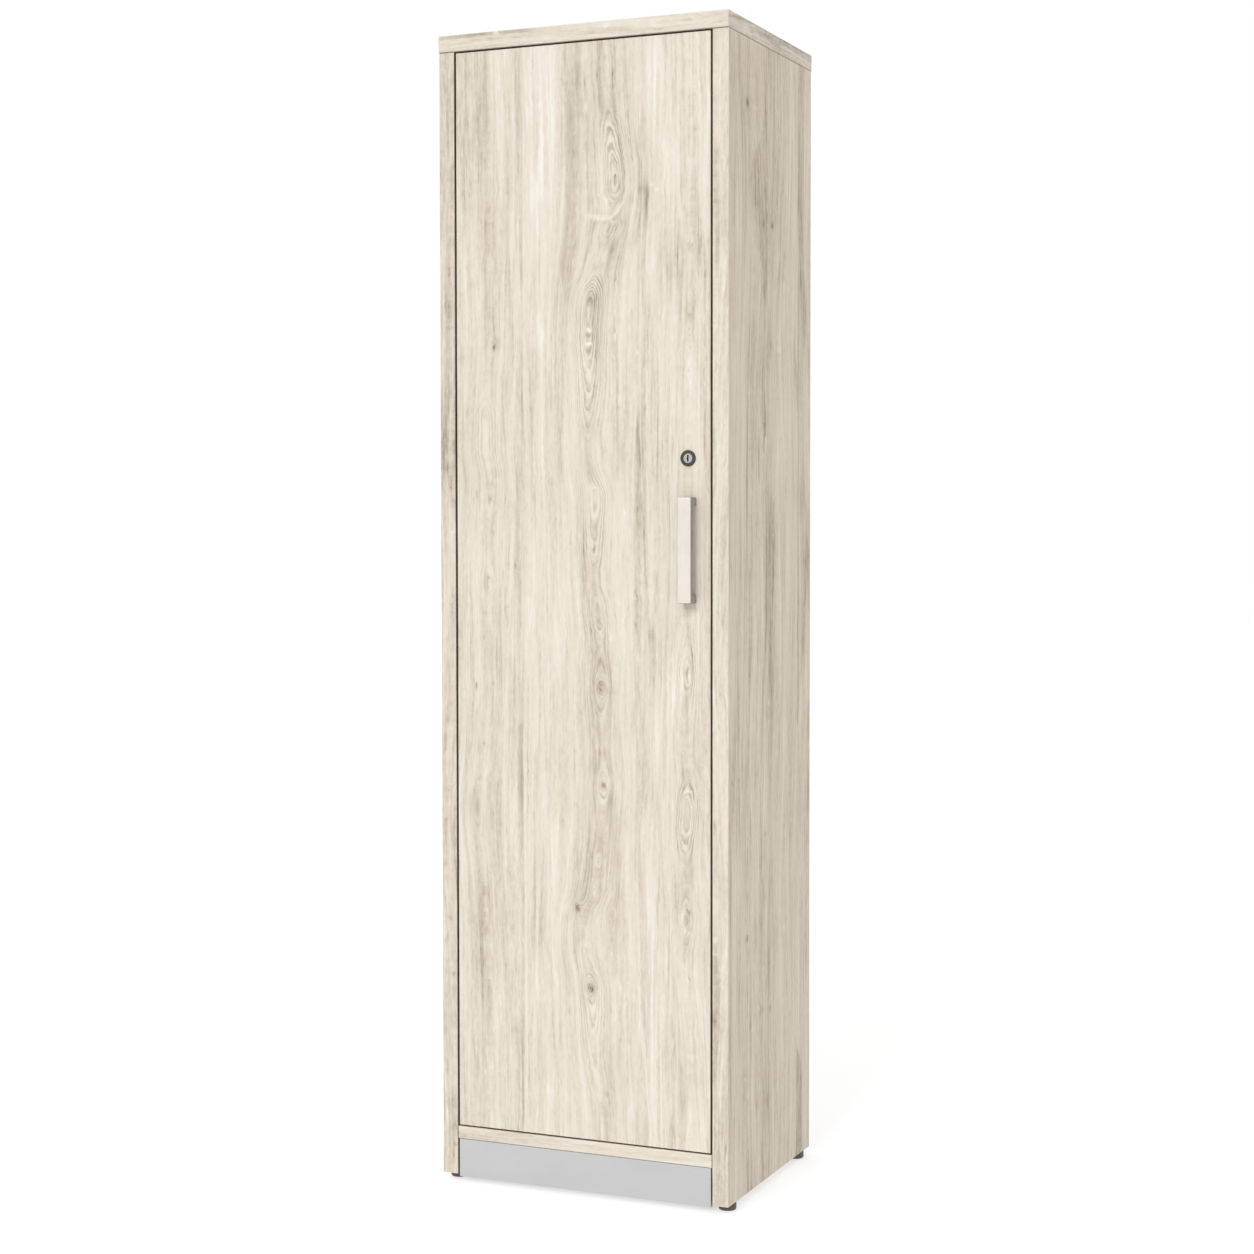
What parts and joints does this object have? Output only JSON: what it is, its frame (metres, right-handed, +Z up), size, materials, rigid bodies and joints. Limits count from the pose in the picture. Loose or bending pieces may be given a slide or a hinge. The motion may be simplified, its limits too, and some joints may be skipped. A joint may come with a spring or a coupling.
{
  "type": "broom cupboard",
  "caption": "Tall narrow broom cupboard in pale oak laminate with an inset lockable door, bow handle, set-back plinth, inner shelf and hook rail, on levelling glides.",
  "frame": {"origin": "on the floor, at the middle of the cupboard's bounding box in plan", "axes": "+Z up, -Y towards the front (door and handle), +X to the right seen from the front"},
  "size_m": [0.5014, 0.411, 1.86],
  "materials": {
    "oak_laminate": "pale bleached oak laminate, satin",
    "oak_edge_band": "matching oak edge band, satin",
    "back_board": "thin laminated board, satin",
    "silver_plinth": "silver-grey matt foil",
    "dowel_beech": "bare beech",
    "zinc_steel": "bright zinc",
    "cast_zinc": "raw zinc casting",
    "nickel_steel": "nickel plate",
    "satin_handle": "satin nickel",
    "lock_bronze": "dark bronze, satin",
    "lock_plug_nickel": "nickel plate",
    "glide_plastic": "dark brown moulded plastic",
    "stop_plastic": "grey moulded plastic"
  },
  "bodies": {
    "carcass": {"top_panel": "oak_laminate", "top_band_front": "oak_edge_band", "top_band_left": "oak_edge_band", "top_band_right": "oak_edge_band", "side_panel_left": "oak_laminate", "side_panel_right": "oak_laminate", "side_band_left": "oak_edge_band", "side_band_right": "oak_edge_band", "bottom_panel": "oak_laminate", "bottom_band": "oak_edge_band", "back_panel": "back_board", "back_panel_screws": "zinc_steel", "plinth_board": "silver_plinth", "plinth_brackets": "zinc_steel", "plinth_screws": "zinc_steel", "shelf": "oak_laminate", "shelf_band": "oak_edge_band", "shelf_pins": "zinc_steel", "cam_fittings": "cast_zinc", "cam_bolts": "zinc_steel", "wood_dowels": "dowel_beech", "hinge_mounting_plates": "nickel_steel", "hinge_plate_screws": "zinc_steel", "hinge_arms": "nickel_steel", "hinge_arm_screws": "zinc_steel", "lock_strike": "zinc_steel", "lock_strike_screws": "zinc_steel", "door_stops": "stop_plastic", "door_stop_screws": "zinc_steel", "hook_rail": "oak_laminate", "broom_hooks": "satin_handle", "hook_screws": "zinc_steel", "glide_inserts": "zinc_steel"},
    "door": {"door_panel": "oak_laminate", "door_bands_upright": "oak_edge_band", "door_bands_level": "oak_edge_band", "hinge_cups": "nickel_steel", "hinge_pins": "nickel_steel", "hinge_cup_screws": "zinc_steel", "pull_handle": "satin_handle", "handle_screws": "zinc_steel", "lock_housing": "lock_bronze", "lock_nut": "zinc_steel"},
    "lock": {"lock_plug": "lock_plug_nickel", "lock_cam": "zinc_steel", "lock_cam_screw": "zinc_steel"},
    "glide_front_left": {"glide_base_front_left": "glide_plastic", "glide_stud_front_left": "zinc_steel"},
    "glide_front_right": {"glide_base_front_right": "glide_plastic", "glide_stud_front_right": "zinc_steel"},
    "glide_rear_left": {"glide_base_rear_left": "glide_plastic", "glide_stud_rear_left": "zinc_steel"},
    "glide_rear_right": {"glide_base_rear_right": "glide_plastic", "glide_stud_rear_right": "zinc_steel"}
  },
  "joints": [
    {"name": "door_hinge", "type": "hinge", "parent": "carcass", "child": "door", "pos_m": [-0.1973, -0.1693, 0.962], "axis": [0, 0, -1], "range_deg": [0, 95], "stiffness_Nm_per_rad": 0.8, "springref_deg": -34.38},
    {"name": "lock_turn", "type": "hinge", "parent": "door", "child": "lock", "pos_m": [0.1833, -0.1805, 1.1764], "axis": [0, 1, 0], "range_deg": [0, 90]},
    {"name": "glide_screw_front_left", "type": "slide", "parent": "carcass", "child": "glide_front_left", "axis": [0, 0, -1], "range_m": [0, 0.012]},
    {"name": "glide_screw_front_right", "type": "slide", "parent": "carcass", "child": "glide_front_right", "axis": [0, 0, -1], "range_m": [0, 0.012]},
    {"name": "glide_screw_rear_left", "type": "slide", "parent": "carcass", "child": "glide_rear_left", "axis": [0, 0, -1], "range_m": [0, 0.012]},
    {"name": "glide_screw_rear_right", "type": "slide", "parent": "carcass", "child": "glide_rear_right", "axis": [0, 0, -1], "range_m": [0, 0.012]}
  ]
}
